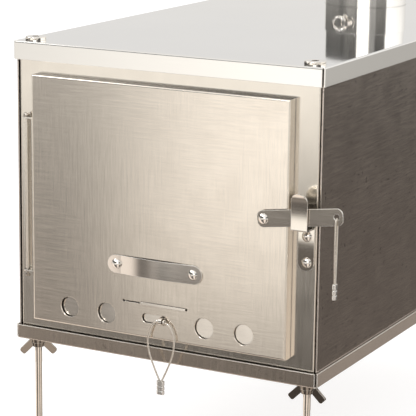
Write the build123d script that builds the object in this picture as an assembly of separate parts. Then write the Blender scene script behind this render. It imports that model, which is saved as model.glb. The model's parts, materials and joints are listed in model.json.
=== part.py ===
from build123d import *
import math
import os

os.makedirs("parts", exist_ok=True)

# Driving dimensions in millimetres. +X is right, +Y is back, +Z is up, and the door faces -Y.
# The origin is on the ground, midway between the four leg ends.
BODY_WIDTH = 294
BODY_DEPTH = 490
BODY_HEIGHT = 266
LEG_LENGTH = 120
SHEET = 1.2
GAP = 0.3
RUNNING = 0.06

LID_FLANGE = 16
TRAY_FLANGE = 12.5
NOTCH = 2
BEND = 1.6

WALL_INSET = 4
SIDE_WALL_X = 144
FRAME_HALF = 142.8
RETURN = 12

ROD_RADIUS = 3
THREAD_RADIUS = 3.2
PLAIN_LEG = 96
ROD_INSET_X = 14.6
ROD_INSET_Y = 14
HEAD_RADIUS = 9
HEAD_HEIGHT = 3

DOOR_WIDTH = 245.4
DOOR_HEIGHT = 217
DOOR_CENTRE_X = -1.7
DOOR_BOTTOM = 22
DOOR_DEPTH = 10.2
MOUTH_MARGIN = 13
MOUTH_TOP_MARGIN = 13
MOUTH_BOTTOM_MARGIN = 4
MOUTH_CORNER = 8

HINGE_X = -132.6
HINGE_Y_OUT = 5.5
PIN_RADIUS = 1
SLEEVE_RADIUS = 1.5
EAR_RADIUS = 3.4
HINGE_LOW = 64
HINGE_HIGH = 200
HINGE_RIVET_UP = 132
HINGE_RIVET_SPACING = 58.5
HINGE_SHANK = 1.3

AIR_CENTRE_X = -2
AIR_HOLE_RADIUS = 9
SLIDER_HOLE_RADIUS = 7.8
AIR_HOLES = (-84.5, -47.4, 47.4, 84.5)
AIR_HOLE_UP = 38.5
SLIDER_TRAVEL = 17
SLIT_LENGTH = 63
SLIT_HEIGHT = 1.3
SLIT_UP = 52.2
RELIEF_RADIUS = 1.1
TAB_LIP = 2.4
TAB_END_GAP = 1.2
SLOT_LENGTH = 25
SLOT_HEIGHT = 8.2
SLOT_UP = 39.5
SLIDER_LOW = 27.8
SLIDER_HIGH = 57
SLIDER_LENGTH = 214
SLIDER_GAP = 1.2
EYE_X = 6
EYE_THICK = 3
EYE_RADIUS = 3.2

LATCH_PIVOT_X = 100.6
LATCH_PIVOT_UP = 140.3
LATCH_TILT = 7.8
LATCH_REACH = 65.3
LATCH_END = 5.5
LATCH_WIDTH = 14
STANDOFF = 2.2
LATCH_PIN_RADIUS = 2.4
LATCH_HOLE_RADIUS = 2.6
CATCH_X = 133.4
CATCH_WIDTH = 14.4
CATCH_UP = 135
LIP_RADIUS = 15
LIP_RISE = 9.2

GRIP_LENGTH = 91
GRIP_SPACING = 74
GRIP_UP = 83.6
GRIP_BOW = 2
GRIP_WIDTH = 16

NUT_TURNS = {"front_left": 30, "front_right": 4, "rear_left": 75, "rear_right": -40}

GRATE_WIDTH = 236
GRATE_LENGTH = 410
GRATE_UP = 22
GRATE_BARS = 11
BAR_WIDTH = 12
BAR_THICK = 3

WING_LENGTH = 15.5
WING_WIDTH = 6.2
WING_THICK = 3

FLUE_RADIUS = 40
FLUE_WALL = 1
FLUE_Y = 421
FLUE_HEIGHT = 55
SPIGOT_LENGTH = 28
FOOT_RING = 11
DAMPER_UP = 16
SPINDLE_RADIUS = 2.5
SPINDLE_FRONT = 8
SPINDLE_BACK = 5
CLIP_OFFSET = 18
CLIP_LENGTH = 10
CLIP_REACH = 9
RING_RADIUS = 6.4
RING_WIRE = 1.1

RIVET_HEAD = 4.5
RIVET_DOME = 2.4
RIVET_SHANK = 2.2

LATCH_WIRE_RADIUS = 0.7
LATCH_FERRULE_FORWARD = 0.4
SLIDER_WIRE_RADIUS = 0.8

# Worked-out positions.
HALF_W = BODY_WIDTH / 2
HALF_D = BODY_DEPTH / 2
TRAY_Z = LEG_LENGTH
TRAY_TOP = TRAY_Z + SHEET
LID_Z = LEG_LENGTH + BODY_HEIGHT
LID_UNDER = LID_Z - SHEET
WALL_FRONT = -HALF_D + WALL_INSET
WALL_BACK = HALF_D - WALL_INSET
ROD_X = HALF_W - ROD_INSET_X
ROD_Y = HALF_D - ROD_INSET_Y
DOOR_BACK = WALL_FRONT - GAP
DOOR_FACE = DOOR_BACK - DOOR_DEPTH
DOOR_INNER = DOOR_FACE + SHEET
DOOR_Z0 = TRAY_Z + DOOR_BOTTOM
DOOR_Z1 = DOOR_Z0 + DOOR_HEIGHT
DOOR_X0 = DOOR_CENTRE_X - DOOR_WIDTH / 2
DOOR_X1 = DOOR_CENTRE_X + DOOR_WIDTH / 2
HINGE_Y = WALL_FRONT - HINGE_Y_OUT
STRAP_BACK = DOOR_FACE - STANDOFF
STRAP_FRONT = STRAP_BACK - SHEET
STRAP_MID = (STRAP_BACK + STRAP_FRONT) / 2
PIVOT_Z = TRAY_Z + LATCH_PIVOT_UP
HOLE_X = LATCH_PIVOT_X + LATCH_REACH * math.cos(math.radians(LATCH_TILT))
HOLE_Z = PIVOT_Z + LATCH_REACH * math.sin(math.radians(LATCH_TILT))
FLUE_CENTRE_Y = FLUE_Y - HALF_D
DAMPER_Z = LID_Z + DAMPER_UP
CATCH_RIVETS = [(CATCH_X + 0.6, TRAY_Z + up) for up in (105, 127)]
GRIP_RIVETS = [(AIR_CENTRE_X + side * GRIP_SPACING / 2, TRAY_Z + GRIP_UP) for side in (-1, 1)]


def block(x0, x1, y0, y1, z0, z1):
    """A box between two corners."""
    centre = Pos((x0 + x1) / 2, (y0 + y1) / 2, (z0 + z1) / 2)
    return centre * Box(abs(x1 - x0), abs(y1 - y0), abs(z1 - z0))


def upright(x, y, z0, z1, radius):
    """A vertical cylinder."""
    return Pos(x, y, (z0 + z1) / 2) * Cylinder(radius, z1 - z0)


def along_y(x, z, y0, y1, radius):
    """A cylinder along Y."""
    return Pos(x, (y0 + y1) / 2, z) * Rot(90, 0, 0) * Cylinder(radius, abs(y1 - y0))


def along_x(y, z, x0, x1, radius):
    """A cylinder along X."""
    return Pos((x0 + x1) / 2, y, z) * Rot(0, 90, 0) * Cylinder(radius, abs(x1 - x0))


def front_plate(outline, x, z, y0, y1):
    """A flat outline drawn as seen from the front, extruded from y0 back to y1."""
    plane = Plane(origin=(x, y1, z), x_dir=(1, 0, 0), z_dir=(0, -1, 0))
    return extrude(plane * outline, y1 - y0)


def rivet_head(x, z, y):
    """A domed head that stands forward of the plane at y."""
    ball = (RIVET_HEAD**2 + RIVET_DOME**2) / (2 * RIVET_DOME)
    start = math.degrees(math.asin((ball - RIVET_DOME) / ball))
    cap = Sphere(ball, arc_size1=start, arc_size2=90, align=None)
    return Pos(x, y + ball - RIVET_DOME, z) * Rot(90, 0, 0) * cap


def rivet(x, z, y, y_inside):
    """A blind rivet: domed head, shank, and a small set head behind the last sheet."""
    shank = along_y(x, z, y, y_inside, RIVET_SHANK)
    set_head = along_y(x, z, y_inside, y_inside + 1.2, RIVET_SHANK + 1)
    return rivet_head(x, z, y) + shank + set_head


def rivet_holes(places, y0, y1):
    """The shank holes for rivets at the given X and Z places."""
    holes = along_y(*places[0], y0, y1, RIVET_SHANK)
    for place in places[1:]:
        holes += along_y(*place, y0, y1, RIVET_SHANK)
    return holes


def rod_places():
    """The four corners where a leg rod goes through."""
    return [
        ("front_left", -ROD_X, -ROD_Y),
        ("front_right", ROD_X, -ROD_Y),
        ("rear_left", -ROD_X, ROD_Y),
        ("rear_right", ROD_X, ROD_Y),
    ]


def flanged_sheet(z0, z1, open_below):
    """A folded sheet with a flange all round and a notch at each corner."""
    shell = block(-HALF_W, HALF_W, -HALF_D, HALF_D, z0, z1)
    flat = shell.faces().sort_by(Axis.Z)[-1 if open_below else 0]
    shell = fillet(flat.edges(), BEND)
    inner_z0, inner_z1 = (z0 - 1, z1 - SHEET) if open_below else (z0 + SHEET, z1 + 1)
    inner_w, inner_d = HALF_W - SHEET, HALF_D - SHEET
    shell -= block(-inner_w, inner_w, -inner_d, inner_d, inner_z0, inner_z1)
    for side_x in (-1, 1):
        for side_y in (-1, 1):
            shell -= block(
                side_x * (HALF_W - NOTCH),
                side_x * (HALF_W + 1),
                side_y * (HALF_D - NOTCH),
                side_y * (HALF_D + 1),
                z0 - 1,
                z1 + 1,
            )
    for _, x, y in rod_places():
        shell -= upright(x, y, z0 - 1, z1 + 1, THREAD_RADIUS + GAP)
    return shell


def lid():
    sheet = flanged_sheet(LID_Z - LID_FLANGE, LID_Z, True)
    return sheet - upright(0, FLUE_CENTRE_Y, LID_UNDER - 1, LID_Z + 1, FLUE_RADIUS + FLUE_WALL)


def base_tray():
    return flanged_sheet(TRAY_Z, TRAY_Z + TRAY_FLANGE, False)


def end_wall(face_y, inward):
    """A front or back wall with a return along each upright edge."""
    y0, y1 = sorted((face_y, face_y + inward * RETURN))
    wall = block(-FRAME_HALF, FRAME_HALF, y0, y1, TRAY_TOP, LID_UNDER)
    upright_edges = wall.edges().filter_by(Axis.Z)
    wall = fillet(upright_edges.group_by(Axis.Y)[0 if inward > 0 else -1], BEND)
    hollow_y = face_y + inward * SHEET
    return wall - block(
        SHEET - FRAME_HALF,
        FRAME_HALF - SHEET,
        hollow_y,
        hollow_y + inward * (RETURN + 1),
        TRAY_TOP - 1,
        LID_UNDER + 1,
    )


def front_frame():
    wall = end_wall(WALL_FRONT, 1)
    mouth_z0 = DOOR_Z0 + MOUTH_BOTTOM_MARGIN
    mouth_z1 = DOOR_Z1 - MOUTH_TOP_MARGIN
    mouth = RectangleRounded(DOOR_WIDTH - 2 * MOUTH_MARGIN, mouth_z1 - mouth_z0, MOUTH_CORNER)
    middle_z = (mouth_z0 + mouth_z1) / 2
    wall -= front_plate(mouth, DOOR_CENTRE_X, middle_z, WALL_FRONT - 1, WALL_FRONT + 3)
    return wall - rivet_holes(CATCH_RIVETS, WALL_FRONT - 1, WALL_FRONT + 3)


def side_wall(side):
    inner, outer = side * SIDE_WALL_X, side * (SIDE_WALL_X + SHEET)
    return block(inner, outer, WALL_FRONT, WALL_BACK, TRAY_TOP, LID_UNDER)


def leg_rod(x, y):
    """A long tie rod with a flat socket head on the lid, rolled thicker for its thread above the leg."""
    rod = upright(x, y, 0, PLAIN_LEG, ROD_RADIUS)
    rod += upright(x, y, PLAIN_LEG, LID_Z, THREAD_RADIUS)
    head = upright(x, y, LID_Z, LID_Z + HEAD_HEIGHT, HEAD_RADIUS)
    head = fillet(head.edges().sort_by(Axis.Z)[-1], 0.9)
    socket = Pos(x, y, LID_Z + 0.8) * extrude(RegularPolygon(3.4, 6), HEAD_HEIGHT)
    return rod + head - socket


def washer(x, y):
    ring = upright(x, y, TRAY_Z - 1.2, TRAY_Z, 6.2)
    return ring - upright(x, y, TRAY_Z - 2, TRAY_Z + 1, THREAD_RADIUS + GAP)


def wing_nut(x, y, turn):
    """A wing nut hung wings-down under the tray washer."""
    top = -1.2 - GAP
    hub = Pos(0, 0, top - 2) * Cylinder(6, 4)
    hub += Pos(0, 0, top - 6) * Cone(4.9, 5.8, 4)
    wings = [
        Rot(0, 0, 180 * side) * Pos(0, 1.5, 0) * wing_blade(top)
        for side in (0, 1)
    ]
    nut = hub + wings[0] + wings[1]
    nut -= Cylinder(THREAD_RADIUS + RUNNING, 60)
    return Pos(x, y, TRAY_Z) * Rot(0, 0, turn) * nut


def wing_blade(top):
    """One blade, leaning 45 degrees down and outward from the hub."""
    plane = Plane(origin=(9.4, 0, top - 7.9), x_dir=(1, 0, -1), z_dir=(0, -1, 0))
    return extrude(plane * RectangleRounded(WING_LENGTH, WING_WIDTH, 1.8), WING_THICK)


def grate_bars():
    """Flat bars from front to back, side by side with a gap between each pair."""
    pitch = (GRATE_WIDTH - BAR_WIDTH) / (GRATE_BARS - 1)
    half_y = GRATE_LENGTH / 2
    z1 = TRAY_TOP + GRATE_UP
    bars = []
    for index in range(GRATE_BARS):
        x0 = -GRATE_WIDTH / 2 + index * pitch
        bars.append(block(x0, x0 + BAR_WIDTH, -half_y, half_y, z1 - BAR_THICK, z1))
    return bars


def grate_rails():
    """Two cross strips on edge that carry the bars and stand on the tray."""
    rails = []
    for side in (-1, 1):
        y = side * (GRATE_LENGTH / 2 - 60)
        half_x = GRATE_WIDTH / 2
        rails.append(block(-half_x, half_x, y - 1.5, y + 1.5, TRAY_TOP, TRAY_TOP + GRATE_UP - BAR_THICK))
    return rails


def flue_collar():
    """A pipe stub with a foot ring under the lid, drawn in at the top to a spigot for the flue."""
    low, high = LID_UNDER - SHEET, LID_Z + FLUE_HEIGHT
    step_z = high - SPIGOT_LENGTH
    collar = upright(0, FLUE_CENTRE_Y, low, high, FLUE_RADIUS)
    collar += upright(0, FLUE_CENTRE_Y, low, step_z, FLUE_RADIUS + FLUE_WALL)
    collar += upright(0, FLUE_CENTRE_Y, low, LID_UNDER, FLUE_RADIUS + FOOT_RING)
    collar -= upright(0, FLUE_CENTRE_Y, low - 1, high + 1, FLUE_RADIUS - FLUE_WALL)
    collar -= upright(0, FLUE_CENTRE_Y, low - 1, step_z - FLUE_WALL, FLUE_RADIUS)
    y0, y1 = FLUE_CENTRE_Y - 2 * FLUE_RADIUS, FLUE_CENTRE_Y + 2 * FLUE_RADIUS
    return collar - along_y(0, DAMPER_Z, y0, y1, SPINDLE_RADIUS + RUNNING)


def hinge_pin():
    """The long pin, with a domed head on top and a peened end below."""
    z0, z1 = TRAY_Z + HINGE_LOW - 4, TRAY_Z + HINGE_HIGH + SHEET + GAP
    head_height, foot_height = 3.2, 1.6
    pin = upright(HINGE_X, HINGE_Y, z0, z1 + 1, PIN_RADIUS)
    head = fillet(Cylinder(2.9, head_height).edges().sort_by(Axis.Z)[-1], 2.4)
    foot = fillet(Cylinder(2.1, foot_height).edges().sort_by(Axis.Z)[0], 0.7)
    pin += Pos(HINGE_X, HINGE_Y, z1 + head_height / 2) * head
    return pin + Pos(HINGE_X, HINGE_Y, z0) * foot


def hinge_leaf():
    """The long sleeve that holds the pin, rolled from a strip with its foot on the front wall."""
    z0, z1 = TRAY_Z + HINGE_LOW + SHEET + GAP, TRAY_Z + HINGE_HIGH - GAP
    web_thick, foot_width, foot_thick = 1.1, 5.9, 0.9
    web_x1 = HINGE_X - SLEEVE_RADIUS + web_thick
    leaf = upright(HINGE_X, HINGE_Y, z0, z1, SLEEVE_RADIUS)
    leaf += block(HINGE_X - SLEEVE_RADIUS, web_x1, HINGE_Y, WALL_FRONT, z0, z1)
    leaf += block(web_x1 - foot_width, web_x1, WALL_FRONT - foot_thick, WALL_FRONT, z0, z1)
    return leaf - upright(HINGE_X, HINGE_Y, z0 - 1, z1 + 1, PIN_RADIUS)


def hinge_bracket():
    """A strip on the door's return whose folded ends are the ears that swing on the pin."""
    z0, z1 = TRAY_Z + HINGE_LOW, TRAY_Z + HINGE_HIGH + SHEET
    y0, y1 = HINGE_Y - EAR_RADIUS, HINGE_Y + EAR_RADIUS
    strip = block(DOOR_X0 - SHEET, DOOR_X0, y0, y1, z0, z1)
    for ear_z in (z0, z1 - SHEET):
        ear = block(HINGE_X, DOOR_X0, y0, y1, ear_z, ear_z + SHEET)
        ear += upright(HINGE_X, HINGE_Y, ear_z, ear_z + SHEET, EAR_RADIUS)
        strip += ear - upright(HINGE_X, HINGE_Y, ear_z - 1, ear_z + 2, PIN_RADIUS + RUNNING)
    for z in hinge_rivet_heights():
        strip -= along_x(HINGE_Y, z, DOOR_X0 - 3, DOOR_X0 + 1, HINGE_SHANK)
    return strip


def hinge_rivet_heights():
    return [TRAY_Z + HINGE_RIVET_UP + step * HINGE_RIVET_SPACING for step in (-1, 0, 1)]


def hinge_rivets():
    """Three rivets that hold the bracket to the door's return."""
    head_height = 1.2
    head_x = DOOR_X0 - SHEET
    inside_x = DOOR_X0 + SHEET
    rivets = []
    for z in hinge_rivet_heights():
        head = fillet(Cylinder(2.2, head_height).edges().sort_by(Axis.Z)[-1], 0.9)
        head = Pos(head_x - head_height / 2, HINGE_Y, z) * Rot(0, -90, 0) * head
        shank = along_x(HINGE_Y, z, head_x, inside_x, HINGE_SHANK)
        set_head = along_x(HINGE_Y, z, inside_x, inside_x + 0.8, HINGE_SHANK + 0.7)
        rivets.append(head + shank + set_head)
    return rivets


def catch_hook():
    """A strip riveted to the front wall, folded forward and up into a tongue with a flared lip."""
    half = CATCH_WIDTH / 2
    x0, x1 = CATCH_X - half, CATCH_X + half
    foot_front = WALL_FRONT - SHEET
    tongue_back = STRAP_FRONT - 1
    tongue_front = tongue_back - SHEET
    floor_z = TRAY_Z + CATCH_UP
    lip_z = floor_z + 21
    foot = block(x0, x1, foot_front, WALL_FRONT, TRAY_Z + 98, floor_z)
    foot = fillet(foot.edges().filter_by(Axis.Y).group_by(Axis.Z)[0], half - 0.2)
    floor = block(x0, x1, tongue_front, WALL_FRONT, floor_z - SHEET, floor_z)
    tongue = block(x0, x1, tongue_front, tongue_back, floor_z - SHEET, lip_z)
    hook = foot + floor + tongue + flared_lip(x0, x1, tongue_front, lip_z)
    hook -= rivet_holes(CATCH_RIVETS, foot_front - 1, WALL_FRONT + 1)
    folds = hook.edges().filter_by(Axis.X)
    outer_fold = folds.filter_by_position(Axis.Y, tongue_front, tongue_front).sort_by(Axis.Z)[0]
    return fillet(outer_fold, SHEET)


def flared_lip(x0, x1, tongue_front, z):
    """The tongue's round top, curling forward out of the strap's way."""
    centre_y = tongue_front - LIP_RADIUS
    curl = along_x(centre_y, z, x0, x1, LIP_RADIUS + SHEET)
    curl -= along_x(centre_y, z, x0 - 1, x1 + 1, LIP_RADIUS)
    curl &= block(x0, x1, centre_y, tongue_front + SHEET, z, z + LIP_RISE)
    outline = Rot(0, 0, 90) * SlotOverall(3 * CATCH_WIDTH, CATCH_WIDTH)
    middle_z = z + LIP_RISE - 1.5 * CATCH_WIDTH
    return curl & front_plate(outline, CATCH_X, middle_z, centre_y, tongue_front + SHEET)


def catch_rivets():
    return [rivet(x, z, WALL_FRONT - SHEET, WALL_FRONT + SHEET) for x, z in CATCH_RIVETS]


def door_holes():
    """Everything that is cut through the door's face, as one solid."""
    y0, y1 = DOOR_FACE - 1, DOOR_INNER + 1
    cuts = front_plate(
        SlotOverall(SLIT_LENGTH, SLIT_HEIGHT), AIR_CENTRE_X, TRAY_Z + SLIT_UP, y0, y1
    )
    cuts += front_plate(SlotOverall(SLOT_LENGTH, SLOT_HEIGHT), AIR_CENTRE_X, TRAY_Z + SLOT_UP, y0, y1)
    for side in (-1, 1):
        relief_x = AIR_CENTRE_X + side * (SLIT_LENGTH / 2 - RELIEF_RADIUS)
        cuts += along_y(relief_x, TRAY_Z + SLIT_UP, y0, y1, RELIEF_RADIUS)
    for offset in AIR_HOLES:
        cuts += along_y(AIR_CENTRE_X + offset, TRAY_Z + AIR_HOLE_UP, y0, y1, AIR_HOLE_RADIUS)
    cuts += along_y(LATCH_PIVOT_X, PIVOT_Z, y0, y1, LATCH_PIN_RADIUS)
    return cuts + rivet_holes(GRIP_RIVETS, y0, y1)


def door_panel():
    """The pan: a face with a return along each edge."""
    pan = block(DOOR_X0, DOOR_X1, DOOR_FACE, DOOR_BACK, DOOR_Z0, DOOR_Z1)
    pan = fillet(pan.faces().sort_by(Axis.Y)[0].edges(), BEND)
    pan -= block(
        DOOR_X0 + SHEET,
        DOOR_X1 - SHEET,
        DOOR_INNER,
        DOOR_BACK + 1,
        DOOR_Z0 + SHEET,
        DOOR_Z1 - SHEET,
    )
    for z in hinge_rivet_heights():
        pan -= along_x(HINGE_Y, z, DOOR_X0 - 1, DOOR_X0 + 2, HINGE_SHANK)
    return pan - door_holes()


def grip_strip():
    """A polished strip that bows a little off the door between its two riveted ends."""
    z = TRAY_Z + GRIP_UP
    bow_half = GRIP_SPACING / 2 - RIVET_HEAD
    radius = (bow_half**2 + GRIP_BOW**2) / (2 * GRIP_BOW)
    centre_y = DOOR_FACE - SHEET - GRIP_BOW + radius
    place = Plane.XY.offset(z - GRIP_WIDTH / 2) * Pos(AIR_CENTRE_X, centre_y)
    bow = extrude(place * (Circle(radius) - Circle(radius - SHEET)), GRIP_WIDTH)
    x0, x1 = AIR_CENTRE_X - bow_half, AIR_CENTRE_X + bow_half
    z0, z1 = z - GRIP_WIDTH / 2, z + GRIP_WIDTH / 2
    bow &= block(x0, x1, DOOR_FACE - 12, DOOR_FACE, z0, z1)
    ends = block(x0 - 20, x1 + 20, DOOR_FACE - SHEET, DOOR_FACE, z0, z1)
    ends -= block(x0 + 0.5, x1 - 0.5, DOOR_FACE - 5, DOOR_FACE + 1, z0 - 1, z1 + 1)
    outline = SlotOverall(GRIP_LENGTH, GRIP_WIDTH)
    strip = (bow + ends) & front_plate(outline, AIR_CENTRE_X, z, DOOR_FACE - 12, DOOR_FACE)
    return strip - rivet_holes(GRIP_RIVETS, DOOR_FACE - 12, DOOR_FACE + 1)


def grip_rivets():
    return [rivet(x, z, DOOR_FACE - SHEET, DOOR_INNER) for x, z in GRIP_RIVETS]


def slider_guide(low):
    """A folded rail on the door's inner face that laps over one edge of the slider."""
    edge = TRAY_Z + (SLIDER_LOW if low else SLIDER_HIGH)
    away = -1 if low else 1
    x0, x1 = DOOR_X0 + 3, DOOR_X1 - 3
    spacer_y = DOOR_INNER + SLIDER_GAP + SHEET + GAP
    spacer = block(x0, x1, DOOR_INNER, spacer_y + SHEET, edge + away * GAP, edge + away * 4)
    lap = block(x0, x1, spacer_y, spacer_y + SHEET, edge - away * 3, edge + away * 4)
    return spacer + lap


def air_slider():
    """The sliding plate with its four holes, the tab in the slit and the eye in the slot."""
    y0 = DOOR_INNER + SLIDER_GAP
    centre = AIR_CENTRE_X + 5.5
    x0, x1 = centre - SLIDER_LENGTH / 2, centre + SLIDER_LENGTH / 2
    plate = block(x0, x1, y0, y0 + SHEET, TRAY_Z + SLIDER_LOW, TRAY_Z + SLIDER_HIGH)
    for offset in AIR_HOLES:
        x = AIR_CENTRE_X + offset + SLIDER_TRAVEL
        plate -= along_y(x, TRAY_Z + AIR_HOLE_UP, y0 - 1, y0 + 3, SLIDER_HOLE_RADIUS)
    return plate + slider_tab(y0 + SHEET / 2) + slider_eye(y0 + SHEET / 2)


def slider_tab(root_y):
    """The long tab through the slit, which stops the slider at each end, and its lip over the face."""
    x1 = AIR_CENTRE_X + SLIT_LENGTH / 2 - TAB_END_GAP
    x0 = x1 - (SLIT_LENGTH - SLIDER_TRAVEL - 2 * TAB_END_GAP)
    half = SLIT_HEIGHT / 2 - GAP
    z = TRAY_Z + SLIT_UP
    lip_y = DOOR_FACE - GAP
    tab = block(x0, x1, lip_y - SHEET, root_y, z - half, z + half)
    return tab + block(x0, x1, lip_y - SHEET, lip_y, z - TAB_LIP / 2, z + TAB_LIP / 2)


def slider_eye(root_y):
    """The drilled lug that the wire pull hangs from."""
    z = TRAY_Z + SLOT_UP
    y = DOOR_FACE - EYE_THICK
    x0, x1 = EYE_X - EYE_THICK / 2, EYE_X + EYE_THICK / 2
    eye = block(x0, x1, y, root_y, z - EYE_RADIUS, z + EYE_RADIUS)
    eye += along_x(y, z, x0, x1, EYE_RADIUS)
    return eye - along_x(y, z, x0 - 1, x1 + 1, SLIDER_WIRE_RADIUS + 0.7)


def latch_strap():
    """The bar that drops into the hook, drilled for its pivot and for the wire pull."""
    length = LATCH_REACH + 2 * LATCH_END
    middle = LATCH_REACH / 2
    strap = Pos(middle, 0) * RectangleRounded(length, LATCH_WIDTH, LATCH_END - 0.3)
    strap -= Circle(LATCH_PIN_RADIUS + RUNNING)
    strap -= Pos(LATCH_REACH, 0) * Circle(LATCH_HOLE_RADIUS)
    plane = Plane(origin=(LATCH_PIVOT_X, STRAP_BACK, PIVOT_Z), x_dir=(1, 0, 0), z_dir=(0, -1, 0))
    return extrude(plane * (Rot(0, 0, LATCH_TILT) * strap), SHEET)


def latch_rivet():
    """The shouldered rivet that the strap turns on, with a backing head inside the pan."""
    pin = along_y(LATCH_PIVOT_X, PIVOT_Z, STRAP_FRONT - GAP, DOOR_INNER + 0.8, LATCH_PIN_RADIUS)
    back = along_y(LATCH_PIVOT_X, PIVOT_Z, DOOR_INNER, DOOR_INNER + 1, 4.4)
    return pin + back + rivet_head(LATCH_PIVOT_X, PIVOT_Z, STRAP_FRONT - GAP)


def latch_spacer():
    ring = along_y(LATCH_PIVOT_X, PIVOT_Z, STRAP_BACK + GAP, DOOR_FACE, 4.6)
    return ring - along_y(LATCH_PIVOT_X, PIVOT_Z, STRAP_BACK - 1, DOOR_FACE + 1, LATCH_PIN_RADIUS)


def wire(points, radius):
    """A round wire through hand-chosen points, with each corner an arc."""
    corners = [Vector(*point) for point in points]
    runs = [(b - a).length for a, b in zip(corners, corners[1:])]
    radii = []
    for i in range(1, len(corners) - 1):
        before = (corners[i] - corners[i - 1]).normalized()
        after = (corners[i + 1] - corners[i]).normalized()
        turn = math.acos(max(-1, min(1, before.dot(after))))
        radii.append(0.45 * min(runs[i - 1], runs[i]) / math.tan(turn / 2))
    route = FilletPolyline(*corners, radius=radii)
    start = Plane(origin=route @ 0, z_dir=route % 0)
    tube = sweep(start * Circle(radius), path=route)
    expected = math.pi * radius**2 * route.length
    print("wire radii", [round(r, 1) for r in radii], "length", round(route.length, 1))
    print("wire volume", round(tube.volume, 1), "expected", round(expected, 1))
    return tube


def slider_pull_route():
    """Out of the ferrule, up the left, through the eye and down the right."""
    y = DOOR_FACE - 3
    half_widths = [
        (1.2, -12.6),
        (6.4, -2),
        (11.2, 10),
        (13.2, 21),
        (11.2, 31),
        (6.2, 39.3),
    ]
    left = [(EYE_X - half, y, TRAY_Z + up) for half, up in half_widths]
    right = [(EYE_X + half, y, TRAY_Z + up) for half, up in reversed(half_widths)]
    return left + right


def latch_pull_route():
    """Out of the ferrule, up behind the strap, through its hole and down in front."""
    offsets = [(0.4, 1.2, -54.8), (1.4, 2.4, -34), (1.7, 2.6, -12), (1.6, 1.7, -1.4)]
    back = [(HOLE_X, STRAP_MID + behind, HOLE_Z + up) for behind, _, up in offsets]
    front = [(HOLE_X, STRAP_MID - ahead, HOLE_Z + up) for _, ahead, up in reversed(offsets)]
    return back + front


def ferrule(x, y, top_z, width, depth, length):
    """An oval crimp sleeve with two pressed grooves."""
    groove_width, groove_depth = 1.4, 0.45
    outline = SlotOverall(width, depth)
    floor = SlotOverall(width - 2 * groove_depth, depth - 2 * groove_depth)
    sleeve = extrude(Plane(origin=(x, y, top_z - length)) * outline, length)
    sleeve = fillet(sleeve.edges().group_by(Axis.Z)[0], 0.8)
    for share in (0.36, 0.68):
        z = top_z - share * length - groove_width / 2
        sleeve -= extrude(Plane(origin=(x, y, z)) * (outline - floor), groove_width)
    return sleeve


def slider_ferrule():
    return ferrule(EYE_X, DOOR_FACE - 3, TRAY_Z - 13, 7.2, 3.6, 12)


def latch_ferrule():
    sleeve = ferrule(0, 0, 0, 5.4, 3.2, 13)
    return Pos(HOLE_X, STRAP_MID - LATCH_FERRULE_FORWARD, HOLE_Z - 55) * Rot(0, 0, 90) * sleeve


def damper_plate():
    """The round flap, lying flat against the spindle."""
    x0 = SPINDLE_RADIUS
    return along_x(FLUE_CENTRE_Y, DAMPER_Z, x0, x0 + SHEET, FLUE_RADIUS - 3)


def damper_spindle():
    """The spindle through the collar, longer at the front, where it carries the ring."""
    y0 = FLUE_CENTRE_Y - FLUE_RADIUS - SPINDLE_FRONT
    y1 = FLUE_CENTRE_Y + FLUE_RADIUS + SPINDLE_BACK
    return along_y(0, DAMPER_Z, y0, y1, SPINDLE_RADIUS)


def damper_clips():
    """Two saddles that hold the flap to the spindle."""
    outer = SPINDLE_RADIUS + SHEET
    clips = []
    for side in (-1, 1):
        y0 = FLUE_CENTRE_Y + side * CLIP_OFFSET - CLIP_LENGTH / 2
        y1 = y0 + CLIP_LENGTH
        low, high = DAMPER_Z - CLIP_REACH, DAMPER_Z + CLIP_REACH
        clip = along_y(0, DAMPER_Z, y0, y1, outer)
        clip += block(0, SPINDLE_RADIUS, y0, y1, DAMPER_Z - outer, DAMPER_Z + outer)
        clip -= block(SPINDLE_RADIUS, CLIP_REACH, y0 - 1, y1 + 1, low, high)
        clip += block(SPINDLE_RADIUS - SHEET, SPINDLE_RADIUS, y0, y1, low, high)
        clip -= along_y(0, DAMPER_Z, y0 - 1, y1 + 1, SPINDLE_RADIUS)
        slot = SPINDLE_RADIUS
        clip -= block(0, slot + 1, y0 - 1, y1 + 1, DAMPER_Z - slot, DAMPER_Z + slot)
        clips.append(clip)
    return clips


def damper_washers():
    """One washer outside each wall of the collar."""
    washers = []
    for side in (-1, 1):
        wall_y = FLUE_CENTRE_Y + side * (FLUE_RADIUS + FLUE_WALL + GAP)
        disc = along_y(0, DAMPER_Z, wall_y, wall_y + side * SHEET, 6.6)
        washers.append(disc - along_y(0, DAMPER_Z, wall_y - 3, wall_y + 3, SPINDLE_RADIUS))
    return washers


def damper_ring():
    """The ring that turns the spindle, on the left of its front end."""
    y = FLUE_CENTRE_Y - FLUE_RADIUS - SPINDLE_FRONT + 2
    x = -SPINDLE_RADIUS - RING_RADIUS + 0.9
    ring = Pos(x, y, DAMPER_Z) * Rot(90, 0, 0) * Torus(RING_RADIUS, RING_WIRE)
    return ring - along_y(0, DAMPER_Z, y - 9, y + 9, SPINDLE_RADIUS)


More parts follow.
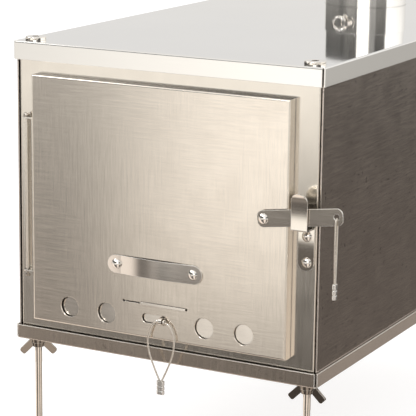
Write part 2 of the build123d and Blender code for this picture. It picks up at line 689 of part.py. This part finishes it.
def nodes():
    """Every sub-part by name."""
    made = {
        "base_tray": base_tray(),
        "lid": lid(),
        "front_frame": front_frame(),
        "back_panel": end_wall(WALL_BACK, -1),
        "left_panel": side_wall(-1),
        "right_panel": side_wall(1),
        "tray_washers": [washer(x, y) for _, x, y in rod_places()],
        "grate_bars": grate_bars(),
        "grate_rails": grate_rails(),
        "flue_collar": flue_collar(),
        "hinge_pin": hinge_pin(),
        "hinge_leaf": hinge_leaf(),
        "catch_hook": catch_hook(),
        "catch_rivets": catch_rivets(),
        "door_panel": door_panel(),
        "hinge_bracket": hinge_bracket(),
        "hinge_rivets": hinge_rivets(),
        "grip_strip": grip_strip(),
        "grip_rivets": grip_rivets(),
        "upper_slider_guide": slider_guide(False),
        "lower_slider_guide": slider_guide(True),
        "latch_rivet": latch_rivet(),
        "latch_spacer": latch_spacer(),
        "air_slider": air_slider(),
        "slider_pull_wire": wire(slider_pull_route(), SLIDER_WIRE_RADIUS),
        "slider_pull_ferrule": slider_ferrule(),
        "latch_strap": latch_strap(),
        "latch_pull_wire": wire(latch_pull_route(), LATCH_WIRE_RADIUS),
        "latch_pull_ferrule": latch_ferrule(),
        "damper_plate": damper_plate(),
        "damper_spindle": damper_spindle(),
        "damper_clips": damper_clips(),
        "damper_washers": damper_washers(),
        "damper_ring": damper_ring(),
    }
    for corner, x, y in rod_places():
        made["leg_rod_" + corner] = leg_rod(x, y)
        made["wing_nut_" + corner] = wing_nut(x, y, NUT_TURNS[corner])
    return made


for name, shape in nodes().items():
    if isinstance(shape, list):
        shape = Compound(children=shape)
    export_step(shape, "parts/" + name + ".step")
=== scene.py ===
import json
import math

import bmesh
import bpy
from mathutils import Matrix, Vector


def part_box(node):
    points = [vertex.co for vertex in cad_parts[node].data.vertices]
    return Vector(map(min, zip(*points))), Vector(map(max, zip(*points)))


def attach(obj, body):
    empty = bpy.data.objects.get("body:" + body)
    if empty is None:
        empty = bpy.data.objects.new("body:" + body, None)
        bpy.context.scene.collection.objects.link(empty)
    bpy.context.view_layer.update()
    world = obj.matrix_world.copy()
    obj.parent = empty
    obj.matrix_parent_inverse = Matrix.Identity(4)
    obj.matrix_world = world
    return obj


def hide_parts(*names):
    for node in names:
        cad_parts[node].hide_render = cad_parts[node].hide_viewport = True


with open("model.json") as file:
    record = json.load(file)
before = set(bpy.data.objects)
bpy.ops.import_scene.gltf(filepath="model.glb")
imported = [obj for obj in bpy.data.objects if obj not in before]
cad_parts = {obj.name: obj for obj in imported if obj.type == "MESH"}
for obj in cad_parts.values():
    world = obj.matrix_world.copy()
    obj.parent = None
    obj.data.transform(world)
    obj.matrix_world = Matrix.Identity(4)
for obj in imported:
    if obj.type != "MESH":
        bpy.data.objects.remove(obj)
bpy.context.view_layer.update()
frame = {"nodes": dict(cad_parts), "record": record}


# ---------------------------------------------------------------- camera

CAMERA_AZIMUTH = 27.83
CAMERA_ELEVATION = 12.92
CAMERA_ROLL = 0.70
CAMERA_DISTANCE = 1.566
CAMERA_LENS_IN_FRAMES = 4.548
SENSOR = 36.0

tray_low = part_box("base_tray")[0]
FRONT_Y = tray_low[1]
AIM_X = 0.0446
AIM_ABOVE_TRAY = 0.1407


def make_camera():
    """A long lens from the front right, a little above the lid."""
    target = Vector((AIM_X, FRONT_Y, tray_low[2] + AIM_ABOVE_TRAY))
    azimuth = math.radians(CAMERA_AZIMUTH)
    elevation = math.radians(CAMERA_ELEVATION)
    back = Vector(
        (
            math.sin(azimuth) * math.cos(elevation),
            -math.cos(azimuth) * math.cos(elevation),
            math.sin(elevation),
        )
    )
    data = bpy.data.cameras.new("camera")
    data.sensor_width = SENSOR
    data.lens = SENSOR * CAMERA_LENS_IN_FRAMES
    data.clip_start = 0.05
    data.clip_end = 60
    camera = bpy.data.objects.new("camera", data)
    bpy.context.scene.collection.objects.link(camera)
    turn = back.to_track_quat("Z", "Y").to_matrix().to_4x4()
    roll = Matrix.Rotation(math.radians(CAMERA_ROLL), 4, "Z")
    camera.matrix_world = Matrix.Translation(target + back * CAMERA_DISTANCE) @ turn @ roll
    bpy.context.scene.camera = camera


make_camera()


# ---------------------------------------------------------------- wire-rope pulls

SLIDER_WIRE = 0.0016
LATCH_WIRE = 0.0014
SLIDER_LAY = 0.009
LATCH_LAY = 0.008
STRANDS = 6
STRAND_SIDES = 7
STRAND_SWELL = 1.02
CORE_SWELL = 0.9
ROPE_STEP = 0.0005
ROUTE_RESOLUTION = 14

DOOR_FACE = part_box("door_panel")[0][1]
TRAY_Z = tray_low[2]
EYE_X = 0.006
EYE_Y = DOOR_FACE - 0.003
EYE_Z = TRAY_Z + 0.0393
WHIPPING_START = 0.0021
WHIPPING_WIRE = 0.00045
WHIPPING_RADIUS = 0.00165
WHIPPING_TURNS = 2.25
WHIPPING_STEPS = 20
WHIPPING_PITCH = 2.1 * WHIPPING_WIRE
EYE_SAG = 0.0018
EYE_SAG_REACH = 0.009
STRAP_MID = DOOR_FACE - 0.0028
PIVOT = Vector((0.1006, STRAP_MID, TRAY_Z + 0.1403))
STRAP_TILT = math.radians(7.8)
STRAP_REACH = 0.0653
HOLE = PIVOT + Vector((math.cos(STRAP_TILT), 0, math.sin(STRAP_TILT))) * STRAP_REACH


def slider_route():
    """Out of the ferrule, up the left, through the eye and down the right."""
    half_widths = [
        (0.0012, -0.0126),
        (0.0064, -0.002),
        (0.0112, 0.010),
        (0.0132, 0.021),
        (0.0112, 0.031),
        (0.0062, 0.0393),
    ]
    left = [Vector((EYE_X - half, EYE_Y, TRAY_Z + up)) for half, up in half_widths]
    right = [Vector((EYE_X + half, EYE_Y, TRAY_Z + up)) for half, up in reversed(half_widths)]
    return left + right


def latch_route():
    """Out of the ferrule, up behind the strap, through its hole and down in front."""
    offsets = [
        (0.0004, 0.0012, -0.0548),
        (0.0014, 0.0024, -0.034),
        (0.0017, 0.0026, -0.012),
        (0.0016, 0.0017, -0.0014),
    ]
    back = [HOLE + Vector((0, behind, up)) for behind, _, up in offsets]
    front = [HOLE + Vector((0, -ahead, up)) for _, ahead, up in reversed(offsets)]
    return back + front


def spline_points(route):
    """The smooth line through a route's control points, as Blender evaluates it."""
    data = bpy.data.curves.new("route", "CURVE")
    data.dimensions = "3D"
    data.resolution_u = ROUTE_RESOLUTION
    spline = data.splines.new("NURBS")
    spline.points.add(len(route) - 1)
    for point, place in zip(spline.points, route):
        point.co = (*place, 1)
    spline.order_u = 3
    spline.use_endpoint_u = True
    holder = bpy.data.objects.new("route", data)
    mesh = bpy.data.meshes.new_from_object(holder)
    points = [vertex.co.copy() for vertex in mesh.vertices]
    bpy.data.meshes.remove(mesh)
    bpy.data.objects.remove(holder)
    bpy.data.curves.remove(data)
    return points


def evenly(points, step):
    """The same line with points a fixed step apart."""
    spaced = [points[0]]
    left = step
    for a, b in zip(points, points[1:]):
        run = (b - a).length
        at = left
        while at <= run:
            spaced.append(a.lerp(b, at / run))
            at += step
        left = at - run
    if (spaced[-1] - points[-1]).length > step * 0.3:
        spaced.append(points[-1])
    return spaced


def frames_along(points):
    """A tangent and two steady cross directions at every point."""
    tangents = []
    for i in range(len(points)):
        tangents.append((points[min(i + 1, len(points) - 1)] - points[max(i - 1, 0)]).normalized())
    side = tangents[0].orthogonal().normalized()
    result = []
    for tangent in tangents:
        side = (side - tangent * side.dot(tangent)).normalized()
        result.append((tangent, side, tangent.cross(side)))
    return result


def add_tube(mesh, points, radius):
    """A closed round tube through the points."""
    loops = []
    for place, (_, side, up) in zip(points, frames_along(points)):
        loop = []
        for corner in range(STRAND_SIDES):
            turn = 2 * math.pi * corner / STRAND_SIDES
            out = side * math.cos(turn) + up * math.sin(turn)
            loop.append(mesh.verts.new(place + out * radius))
        loops.append(loop)
    for first, second in zip(loops, loops[1:]):
        for corner in range(STRAND_SIDES):
            after = (corner + 1) % STRAND_SIDES
            mesh.faces.new((first[corner], first[after], second[after], second[corner]))
    mesh.faces.new(reversed(loops[0]))
    mesh.faces.new(loops[-1])


def rope_mesh(name, route, diameter, lay_length):
    """A twisted rope of round strands round a core, along the route."""
    points = evenly(spline_points(route), ROPE_STEP)
    axes = frames_along(points)
    strand = diameter / STRANDS
    ring = diameter / 2 - strand
    mesh = bmesh.new()
    add_tube(mesh, points, strand * CORE_SWELL)
    for index in range(STRANDS):
        centres = []
        for step, (place, (_, side, up)) in enumerate(zip(points, axes)):
            angle = 2 * math.pi * (index / STRANDS + step * ROPE_STEP / lay_length)
            centres.append(place + (side * math.cos(angle) + up * math.sin(angle)) * ring)
        add_tube(mesh, centres, strand * STRAND_SWELL)
    return finish_mesh(mesh, name), points


def finish_mesh(mesh, name, smooth=True):
    """Turn a built mesh into an object in the scene."""
    bmesh.ops.recalc_face_normals(mesh, faces=mesh.faces)
    data = bpy.data.meshes.new(name)
    mesh.to_mesh(data)
    mesh.free()
    for polygon in data.polygons:
        polygon.use_smooth = smooth
    obj = bpy.data.objects.new(name, data)
    bpy.context.scene.collection.objects.link(obj)
    return obj


def make_whipping(body):
    """Turns of fine wire round the slider's pull on each side of the eye."""
    mesh = bmesh.new()
    for side in (-1, 1):
        centres = []
        for step in range(int(WHIPPING_TURNS * WHIPPING_STEPS) + 1):
            turns = step / WHIPPING_STEPS
            angle = 2 * math.pi * turns
            along = side * (WHIPPING_START + turns * WHIPPING_PITCH)
            drop = -((along / EYE_SAG_REACH) ** 2) * EYE_SAG
            out = WHIPPING_RADIUS * math.cos(angle)
            rise = WHIPPING_RADIUS * math.sin(angle)
            centres.append(Vector((EYE_X + along, EYE_Y + out, EYE_Z + drop + rise)))
        add_tube(mesh, centres, WHIPPING_WIRE)
    whipping = finish_mesh(mesh, "slider_pull_whipping")
    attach(whipping, body)
    return whipping


def make_rope(name, route, diameter, body, node_name, lay_length):
    """One wire-rope pull, in place of its plain CAD wire."""
    rope, points = rope_mesh(name, route, diameter, lay_length)
    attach(rope, body)
    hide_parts(node_name)
    return rope


whipping = make_whipping("slider_pull")
ropes = [
    make_rope(
        "slider_pull_rope",
        slider_route(),
        SLIDER_WIRE,
        "slider_pull",
        "slider_pull_wire",
        SLIDER_LAY,
    ),
    make_rope(
        "latch_pull_rope",
        latch_route(),
        LATCH_WIRE,
        "latch_pull",
        "latch_pull_wire",
        LATCH_LAY,
    ),
]


# ---------------------------------------------------------------- node helpers

def new_material(name):
    """A material with one Principled shader, and its node tree."""
    material = bpy.data.materials.new(name)
    material.use_nodes = True
    tree = material.node_tree
    shader = tree.nodes["Principled BSDF"]
    return material, tree, shader


def node(tree, kind, inputs=None, **settings):
    """A node with its properties set and its input sockets given as values or links."""
    made = tree.nodes.new(kind)
    for key, value in settings.items():
        setattr(made, key, value)
    for key, value in (inputs or {}).items():
        if isinstance(value, bpy.types.NodeSocket):
            tree.links.new(value, made.inputs[key])
        else:
            made.inputs[key].default_value = value
    return made


def math_node(tree, operation, a, b=0.0, clamp=False):
    """A Math node's result."""
    return node(tree, "ShaderNodeMath", {0: a, 1: b}, operation=operation, use_clamp=clamp).outputs[0]


def remap(tree, value, low, high, out_low, out_high):
    """A value moved from one range to another, and held inside it."""
    made = node(
        tree,
        "ShaderNodeMapRange",
        {"Value": value, "From Min": low, "From Max": high, "To Min": out_low, "To Max": out_high},
    )
    return made.outputs["Result"]


def noise(tree, vector, scale, detail=3.0, rough=0.55, stretch=(1, 1, 1)):
    """Noise in the object's own space, stretched along an axis if asked."""
    mapped = node(tree, "ShaderNodeMapping", {"Vector": vector, "Scale": stretch}).outputs[0]
    made = node(
        tree,
        "ShaderNodeTexNoise",
        {"Vector": mapped, "Scale": scale, "Detail": detail, "Roughness": rough},
    )
    return made.outputs["Fac"]


def vector_math(tree, operation, a, b, output="Value"):
    """A Vector Math node's number, or its vector if asked."""
    return node(tree, "ShaderNodeVectorMath", {0: a, 1: b}, operation=operation).outputs[output]


def mix_colour(tree, factor, a, b, blend="MIX"):
    """Two colours mixed, each given as a link or as red, green and blue."""
    made = node(tree, "ShaderNodeMix", {"Factor": factor}, data_type="RGBA", blend_type=blend)
    for socket, value in ((made.inputs[6], a), (made.inputs[7], b)):
        if isinstance(value, bpy.types.NodeSocket):
            tree.links.new(value, socket)
        else:
            socket.default_value = (*value, 1)
    return made.outputs[2]


# ---------------------------------------------------------------- materials

FINE_LINES = 1200
COARSE_LINES = 620
GRAIN_SHARES = 11
BROAD_SMUDGES = 8
PATCHES = 45
LIGHT_SPECKS = 330
DARK_SPECKS = 270
HAIRLINES = 1500
WEAR = 90
GRIME = 700
GRAIN_DEPTH = 0.00003
LAY_DEPTH = 0.00005
EDGE_ROUND_RADIUS = 0.0006
GAP_REACH = 0.003
# Painted shade: the darkest the colour gets where another surface stands close.
GAP_SHADE = 0.65
GRAIN_STRETCH = {"X": (0.05, 1, 1), "Y": (1, 0.05, 1), "Z": (1, 1, 0.05)}
LIGHT_SPECK = (0.62, 0.57, 0.50)
DARK_SPECK = (0.10, 0.08, 0.07)
STAIN = (0.34, 0.27, 0.20)
# Painted highlight: the pale colour and the lost metal that make each edge read as a bright line.
EDGE_HIGHLIGHT_COLOUR = (0.95, 0.91, 0.85)
EDGE_HIGHLIGHT_DULLNESS = 0.6


def form_height(tree, place, lean, bow, middle, roll):
    """The sheet's lean, its bow about its middle and its roll in Z, as a height over the flat sheet."""
    offset = vector_math(tree, "SUBTRACT", place, middle, "Vector")
    height = vector_math(tree, "DOT_PRODUCT", offset, lean)
    if any(bow):
        square = vector_math(tree, "MULTIPLY", offset, offset, "Vector")
        height = math_node(tree, "ADD", height, vector_math(tree, "DOT_PRODUCT", square, bow))
    if roll:
        amount, length = roll
        up = node(tree, "ShaderNodeSeparateXYZ", {0: offset}).outputs[2]
        wave = math_node(tree, "SINE", math_node(tree, "MULTIPLY", up, 2 * math.pi / length))
        height = math_node(tree, "ADD", height, math_node(tree, "MULTIPLY", wave, amount))
    return height


def painted_gap_shade(tree):
    """Painted shade: the colour is darker where another surface stands close, as in a gap or behind a strap.
    """
    open_sky = node(tree, "ShaderNodeAmbientOcclusion", {"Distance": GAP_REACH}, samples=6).outputs["AO"]
    return remap(tree, open_sky, 0.1, 0.85, GAP_SHADE, 1.0)


def rough_edge_and_painted_highlight(tree, rounded, rough, base, amount):
    """Cut and deburred edges are rougher than the face; their paler, less metallic colour is a painted
    highlight that makes each edge read as a bright line.
    """
    face = node(tree, "ShaderNodeNewGeometry").outputs["Normal"]
    turn = vector_math(tree, "DOT_PRODUCT", rounded, face)
    stain_or_edge_highlight_mask = remap(tree, turn, 0.995, 0.90, 0.0, amount)
    pale = mix_colour(tree, stain_or_edge_highlight_mask, base, EDGE_HIGHLIGHT_COLOUR)
    rougher = math_node(tree, "ADD", rough, math_node(tree, "MULTIPLY", stain_or_edge_highlight_mask, 0.35), clamp=True)
    metal = math_node(tree, "SUBTRACT", 1.0, math_node(tree, "MULTIPLY", stain_or_edge_highlight_mask, EDGE_HIGHLIGHT_DULLNESS))
    return rougher, pale, metal


def add_specks(tree, place, base, amount, size, colour, cut=0.70, stretch=(1, 1, 1)):
    """Sparse round specks of another colour."""
    dots = noise(tree, place, size, 1.0, 0.4, stretch)
    return mix_colour(tree, remap(tree, dots, cut, cut + 0.04, 0.0, amount), base, colour)


def grain_lines(tree, place, grain):
    """Fine brushed lines along one axis, or crossed lines that change places over the sheet."""
    if len(grain) == 1:
        fine = noise(tree, place, FINE_LINES, 2.0, 0.6, GRAIN_STRETCH[grain])
        coarse = noise(tree, place, COARSE_LINES, 2.0, 0.5, GRAIN_STRETCH[grain])
        fine_part = math_node(tree, "MULTIPLY", fine, 0.45)
        coarse_part = math_node(tree, "MULTIPLY", coarse, 0.55)
        return math_node(tree, "ADD", fine_part, coarse_part)
    share = remap(tree, noise(tree, place, GRAIN_SHARES, 1.0, 0.5), 0.35, 0.65, 0.15, 0.85)
    rest = math_node(tree, "SUBTRACT", 1.0, share)
    first = math_node(tree, "MULTIPLY", grain_lines(tree, place, grain[0]), share)
    second = math_node(tree, "MULTIPLY", grain_lines(tree, place, grain[1]), rest)
    return math_node(tree, "ADD", first, second)


def brushed_metal(
    name,
    colour,
    rough=0.2,
    grain="X",
    grain_bump=0.2,
    grain_tone=0.04,
    smudge=0.04,
    specks=0.0,
    stain=0.0,
    lean=(0, 0, 0),
    bow=(0, 0, 0),
    middle=(0, 0, 0.25),
    roll=None,
    edge_highlight=0.5,
    edge_radius=EDGE_ROUND_RADIUS,
):
    """Sheet metal with brushed lines, soft smudges, specks, heat stains and a slight form, with painted
    shade where another surface stands close and, where asked, a painted highlight along each edge.
    """
    material, tree, shader = new_material(name)
    place = node(tree, "ShaderNodeTexCoord").outputs["Object"]
    lines = grain_lines(tree, place, grain)
    broad = noise(tree, place, BROAD_SMUDGES, 2.0, 0.5)
    patch = noise(tree, place, PATCHES, 2.0, 0.5)

    tone = remap(tree, lines, 0.3, 0.7, 1 - grain_tone, 1 + grain_tone)
    tone = math_node(tree, "MULTIPLY", tone, remap(tree, broad, 0.3, 0.7, 1 - smudge, 1 + smudge))
    value = node(tree, "ShaderNodeCombineColor", {0: tone, 1: tone, 2: tone}).outputs[0]
    base = mix_colour(tree, 1.0, colour, value, "MULTIPLY")
    if stain:
        stain_or_edge_highlight_mask = remap(tree, math_node(tree, "MULTIPLY", broad, patch), 0.2, 0.4, 0.0, stain)
        base = mix_colour(tree, stain_or_edge_highlight_mask, base, STAIN)
    if specks:
        base = add_specks(tree, place, base, specks, LIGHT_SPECKS, LIGHT_SPECK)
        base = add_specks(tree, place, base, specks, DARK_SPECKS, DARK_SPECK, stretch=(1.1, 0.9, 1.2))

    uneven = remap(tree, patch, 0.3, 0.7, rough * 0.95, rough * 1.06)
    uneven = math_node(tree, "ADD", uneven, remap(tree, lines, 0.3, 0.7, -0.02, 0.02), clamp=True)
    edge = node(tree, "ShaderNodeBevel", {"Radius": edge_radius}, samples=4)
    # Painted shade: the base colour is darkened where another surface stands close, in gaps and behind
    # straps.
    gap = painted_gap_shade(tree)
    shade = node(tree, "ShaderNodeCombineColor", {0: gap, 1: gap, 2: gap}).outputs[0]
    base = mix_colour(tree, 1.0, base, shade, "MULTIPLY")
    shader.inputs["Metallic"].default_value = 1.0
    # Painted highlight along each edge: paler, less metallic colour; the extra roughness there is the cut
    # edge's own.
    if edge_highlight:
        uneven, base, metal = rough_edge_and_painted_highlight(tree, edge.outputs[0], uneven, base, edge_highlight)
        tree.links.new(metal, shader.inputs["Metallic"])
    tree.links.new(base, shader.inputs["Base Color"])
    tree.links.new(uneven, shader.inputs["Roughness"])

    form = form_height(tree, place, lean, bow, middle, roll)
    shaped = node(
        tree,
        "ShaderNodeBump",
        {"Strength": 1.0, "Distance": 1.0, "Height": form, "Normal": edge.outputs[0]},
    )
    bump = node(
        tree,
        "ShaderNodeBump",
        {"Strength": grain_bump, "Distance": GRAIN_DEPTH, "Height": lines, "Normal": shaped.outputs[0]},
    )
    tree.links.new(bump.outputs[0], shader.inputs["Normal"])
    return material


def bright_metal(name, colour, rough=0.12):
    """Polished or plated metal with hairline scratches and slight wear."""
    material, tree, shader = new_material(name)
    place = node(tree, "ShaderNodeTexCoord").outputs["Object"]
    hair = noise(tree, place, HAIRLINES, 2.0, 0.6, GRAIN_STRETCH["Z"])
    worn = noise(tree, place, WEAR, 3.0, 0.5)
    dull = tuple(part * 0.75 for part in colour)
    base = mix_colour(tree, remap(tree, worn, 0.35, 0.7, 0.0, 0.5), colour, dull)
    tree.links.new(base, shader.inputs["Base Color"])
    uneven = math_node(
        tree,
        "ADD",
        remap(tree, worn, 0.3, 0.7, rough * 0.8, rough * 1.3),
        remap(tree, hair, 0.3, 0.7, -0.015, 0.02),
        clamp=True,
    )
    tree.links.new(uneven, shader.inputs["Roughness"])
    shader.inputs["Metallic"].default_value = 1.0
    edge = node(tree, "ShaderNodeBevel", {"Radius": EDGE_ROUND_RADIUS / 2}, samples=4)
    bump = node(
        tree,
        "ShaderNodeBump",
        {"Strength": 0.2, "Distance": GRAIN_DEPTH, "Height": hair, "Normal": edge.outputs[0]},
    )
    tree.links.new(bump.outputs[0], shader.inputs["Normal"])
    return material


def rope_metal(name, colour):
    """Bright wire rope, darker in patches where dirt sits in the lay."""
    material, tree, shader = new_material(name)
    place = node(tree, "ShaderNodeTexCoord").outputs["Object"]
    grime = noise(tree, place, GRIME, 3.0, 0.6)
    dirty = tuple(part * 0.6 for part in colour)
    base = mix_colour(tree, remap(tree, grime, 0.35, 0.7, 0.0, 0.6), colour, dirty)
    tree.links.new(base, shader.inputs["Base Color"])
    tree.links.new(remap(tree, grime, 0.3, 0.7, 0.22, 0.4), shader.inputs["Roughness"])
    shader.inputs["Metallic"].default_value = 1.0
    bump = node(tree, "ShaderNodeBump", {"Strength": 0.3, "Distance": LAY_DEPTH, "Height": grime})
    tree.links.new(bump.outputs[0], shader.inputs["Normal"])
    return material


def middle_of(name):
    """The middle of a node's box at rest."""
    low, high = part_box(name)
    return tuple((a + b) / 2 for a, b in zip(low, high))


DOOR_MIDDLE = middle_of("door_panel")
HOOK_BEND = (0, 0, tray_low[2] + 0.134)

STRAP_COLOUR = (0.80, 0.765, 0.71)
LOOKS = {
    "polished_sheet": brushed_metal(
        "lid_sheet", (0.86, 0.85, 0.83), rough=0.055, grain="X", grain_bump=0.04, grain_tone=0.01,
        smudge=0.015, lean=(0, 0, -0.07), edge_highlight=0,
    ),
    "door_sheet": brushed_metal(
        "door_sheet",
        (0.835, 0.78, 0.71),
        rough=0.2,
        grain="XZ",
        grain_bump=0.5,
        grain_tone=0.11,
        smudge=0.02,
        lean=(0.034, 0, -0.044),
        bow=(-0.33, 0, 0),
        middle=DOOR_MIDDLE,
        stain=0.05,
        edge_highlight=0,
    ),
    "brushed_sheet": brushed_metal(
        "brushed_sheet", (0.83, 0.80, 0.745), rough=0.17, grain="Z", grain_bump=0.2, stain=0.04,
        lean=(-0.035, 0, 0),
    ),
    "tray_sheet": brushed_metal(
        "tray_sheet", (0.64, 0.58, 0.52), rough=0.2, grain="Z", grain_bump=0.4, grain_tone=0.07,
        specks=0.2, lean=(0, -0.14, 0), edge_highlight=1.0, edge_radius=0.001,
    ),
    "slider_sheet": brushed_metal(
        "slider_sheet", (0.81, 0.77, 0.72), rough=0.19, grain="X", grain_bump=0.3, stain=0.1,
        lean=(0.035, 0, -0.06), bow=(-0.55, 0, 0), edge_highlight=0,
    ),
    "strap_steel": brushed_metal(
        "strap_steel", STRAP_COLOUR, rough=0.15, grain="X", grain_bump=0.15, grain_tone=0.03,
        lean=(0, 0, 0.014),
    ),
    "grate_steel": brushed_metal(
        "grate_steel", (0.22, 0.20, 0.19), rough=0.5, grain="Y", grain_bump=0.3, stain=0.5, specks=0.5
    ),
    "pipe_steel": brushed_metal("pipe_steel", (0.93, 0.915, 0.885), rough=0.1, grain="Z", grain_bump=0.1),
    "rod_steel": bright_metal("rod_steel", (0.92, 0.88, 0.82), rough=0.06),
    "bright_steel": bright_metal("bright_steel", (0.90, 0.87, 0.83), rough=0.08),
    "nut_steel": brushed_metal(
        "nut_steel", (0.30, 0.27, 0.235), rough=0.15, grain="X", grain_bump=0.2, smudge=0.12, edge_highlight=0.8,
        edge_radius=0.0004,
    ),
    "wire_rope": rope_metal("wire_rope", (0.90, 0.85, 0.78)),
    "ferrule_alloy": bright_metal("ferrule_alloy", (0.90, 0.90, 0.89), rough=0.24),
}
SIDE_LOOK = brushed_metal(
    "side_sheet",
    (0.74, 0.665, 0.61),
    rough=0.22,
    grain="Y",
    grain_tone=0.05,
    smudge=0.03,
    grain_bump=0.1,
    specks=0.5,
    stain=0.03,
    bow=(0, 0, 0.06),
)
NODE_LOOKS = {
    "hinge_pin": bright_metal("pin_steel", (0.50, 0.46, 0.41), rough=0.1),
    "left_panel": SIDE_LOOK,
    "right_panel": SIDE_LOOK,
    "grip_strip": brushed_metal(
        "grip_sheet", (0.72, 0.695, 0.66), rough=0.13, grain_bump=0.12, grain_tone=0.02,
        lean=(0.03, 0, -0.016), bow=(-2.6, 0, 0), middle=middle_of("grip_strip"),
    ),
    "catch_hook": brushed_metal(
        "hook_sheet", STRAP_COLOUR, rough=0.14, grain_bump=0.12, grain_tone=0.02,
        lean=(0, 0, -0.005), middle=HOOK_BEND, roll=(-0.0005, 0.054), edge_highlight=0.4,
    ),
}


def dress(obj, material):
    """Give an object one material in place of whatever it has."""
    if not obj.data.materials:
        obj.data.materials.append(material)
    for index in range(len(obj.material_slots)):
        obj.material_slots[index].material = material


def dress_all():
    """Every CAD node takes the look of its own or of its material slot, and the ropes take theirs."""
    slots = {entry["node"]: entry["material_slot"] for entry in frame["record"]["subparts"]}
    for name, obj in frame["nodes"].items():
        dress(obj, NODE_LOOKS.get(name) or LOOKS[slots[name]])
    for rope in (*ropes, whipping):
        dress(rope, LOOKS["wire_rope"])


dress_all()


# ---------------------------------------------------------------- floor and light

FLOOR_REACH = 14
FLOOR_GLOW = 0.74
FLOOR_TONES = ((0.40, 0.40, 0.40), (0.44, 0.44, 0.44))


def make_floor():
    """A pale light table: it glows a little, so the shadow under the object stays faint."""
    mesh = bmesh.new()
    bmesh.ops.create_grid(mesh, x_segments=1, y_segments=1, size=FLOOR_REACH)
    floor = finish_mesh(mesh, "floor", smooth=False)
    material, tree, shader = new_material("floor_paper")
    place = node(tree, "ShaderNodeTexCoord").outputs["Object"]
    soft = noise(tree, place, 2.0, 2.0, 0.5)
    base = mix_colour(tree, remap(tree, soft, 0.3, 0.7, 0.0, 1.0), *FLOOR_TONES)
    tree.links.new(base, shader.inputs["Base Color"])
    shader.inputs["Roughness"].default_value = 0.9
    shader.inputs["Emission Color"].default_value = (1, 1, 1, 1)
    shader.inputs["Emission Strength"].default_value = FLOOR_GLOW
    dress(floor, material)
    floor.visible_glossy = False


def soft_light(name, place, target, size, power):
    """A white rectangle of light that faces its target."""
    data = bpy.data.lights.new(name, "AREA")
    data.shape = "RECTANGLE"
    data.size, data.size_y = size
    data.energy = power
    light = bpy.data.objects.new(name, data)
    bpy.context.scene.collection.objects.link(light)
    light.location = place
    light.rotation_euler = (Vector(target) - Vector(place)).to_track_quat("-Z", "Y").to_euler()


def ramp(tree, value, stops, tint):
    """Brightness against the angle round, joined by straight lines and tinted."""
    made = node(tree, "ShaderNodeValToRGB", {0: value})
    points = made.color_ramp.elements
    while len(points) < len(stops):
        points.new(0.5)
    for point, (angle, level) in zip(points, stops):
        point.position = angle / 360 + 0.5
        point.color = (*(level * part for part in tint), 1)
    return made.outputs[0]


# The studio that the metal mirrors, from the ground up. Each band says between which heights it
# takes over from the band below, its tint, and its brightness against the angle round in degrees,
# from straight ahead of the door and positive to the right.
BANDS = [
    (None, (1.0, 0.88, 0.78), [
        (-180, 0.45), (-130, 0.45), (-72, 1.20), (-55, 1.20), (-47, 0.22), (-38, 0.24), (-33, 0.34),
        (-24, 0.08), (-14, 0.16), (2, 0.20), (10, 1.00), (42, 1.00), (50, 0.16), (72, 0.16),
        (80, 0.95), (95, 0.80), (125, 0.50), (140, 0.50), (147, 0.10), (163, 0.10), (170, 0.45), (180, 0.45),
    ]),
    ((-0.225, -0.180), (1.0, 0.94, 0.86), [
        (-180, 0.60), (-130, 0.60), (-80, 1.00), (-60, 1.00), (-54, 0.30), (-42, 0.20), (-38, 0.50),
        (-33, 1.00), (-25, 1.34), (-14, 1.38), (4, 0.90), (18, 0.80), (26, 0.40), (34, 0.40), (44, 0.95),
        (95, 0.90), (125, 0.65), (140, 0.60), (147, 0.055), (163, 0.055), (170, 0.50), (180, 0.60),
    ]),
    ((-0.14, -0.10), (1.0, 0.96, 0.90), [
        (-180, 0.82), (-120, 0.90), (-60, 0.80), (-44, 0.45), (-33, 0.96), (-25, 1.30),
        (-10, 1.30), (4, 0.90), (90, 0.85), (120, 0.75), (144, 0.64), (158, 0.50), (170, 0.75), (180, 0.82),
    ]),
    ((0.06, 0.13), (1.0, 0.985, 0.965), [
        (-180, 0.84), (-152, 0.80), (-132, 0.80), (-124, 0.10), (-30, 0.08), (1, 0.04), (2, 1.90),
        (34, 1.90), (37, 0.28), (52, 0.28), (55, 0.05), (84, 0.07), (88, 1.60), (150, 1.20), (180, 0.84),
    ]),
    ((0.40, 0.55), (1.0, 0.98, 0.95), [
        (-180, 0.9), (-120, 0.9), (-60, 1.0), (30, 1.0), (90, 0.9), (180, 0.9),
    ]),
]
PALE_ROOM = (1.0, 1.0, 1.0)


def make_world():
    """A pale room for the camera and the floor, and soft boxes and dark gaps for the metal."""
    world = bpy.data.worlds.new("studio")
    world.use_nodes = True
    bpy.context.scene.world = world
    tree = world.node_tree
    tree.nodes.clear()
    direction = node(tree, "ShaderNodeTexCoord").outputs["Generated"]
    axes = node(tree, "ShaderNodeSeparateXYZ", {0: direction}).outputs
    ahead = math_node(tree, "MULTIPLY", axes[1], -1.0)
    turn = math_node(tree, "ARCTAN2", axes[0], ahead)
    share = math_node(tree, "ADD", math_node(tree, "DIVIDE", turn, 2 * math.pi), 0.5)
    level = None
    for heights, tint, stops in BANDS:
        band = ramp(tree, share, stops, tint)
        if level is None:
            level = band
        else:
            level = mix_colour(tree, remap(tree, axes[2], *heights, 0.0, 1.0), level, band)
    mirrored = node(tree, "ShaderNodeLightPath").outputs["Is Glossy Ray"]
    colour = mix_colour(tree, mirrored, PALE_ROOM, level)
    background = node(tree, "ShaderNodeBackground", {"Color": colour, "Strength": 1.0})
    output = node(tree, "ShaderNodeOutputWorld")
    tree.links.new(background.outputs[0], output.inputs["Surface"])


make_floor()
make_world()
soft_light("key", place=(-0.3, -1.7, 2.0), target=(0, 0, 0.25), size=(0.7, 0.5), power=14)
soft_light("fill", place=(-1.5, -0.6, 1.6), target=(0, 0, 0.2), size=(0.9, 0.9), power=6)

scene = bpy.context.scene
scene.view_settings.view_transform = "Standard"
scene.view_settings.look = "None"
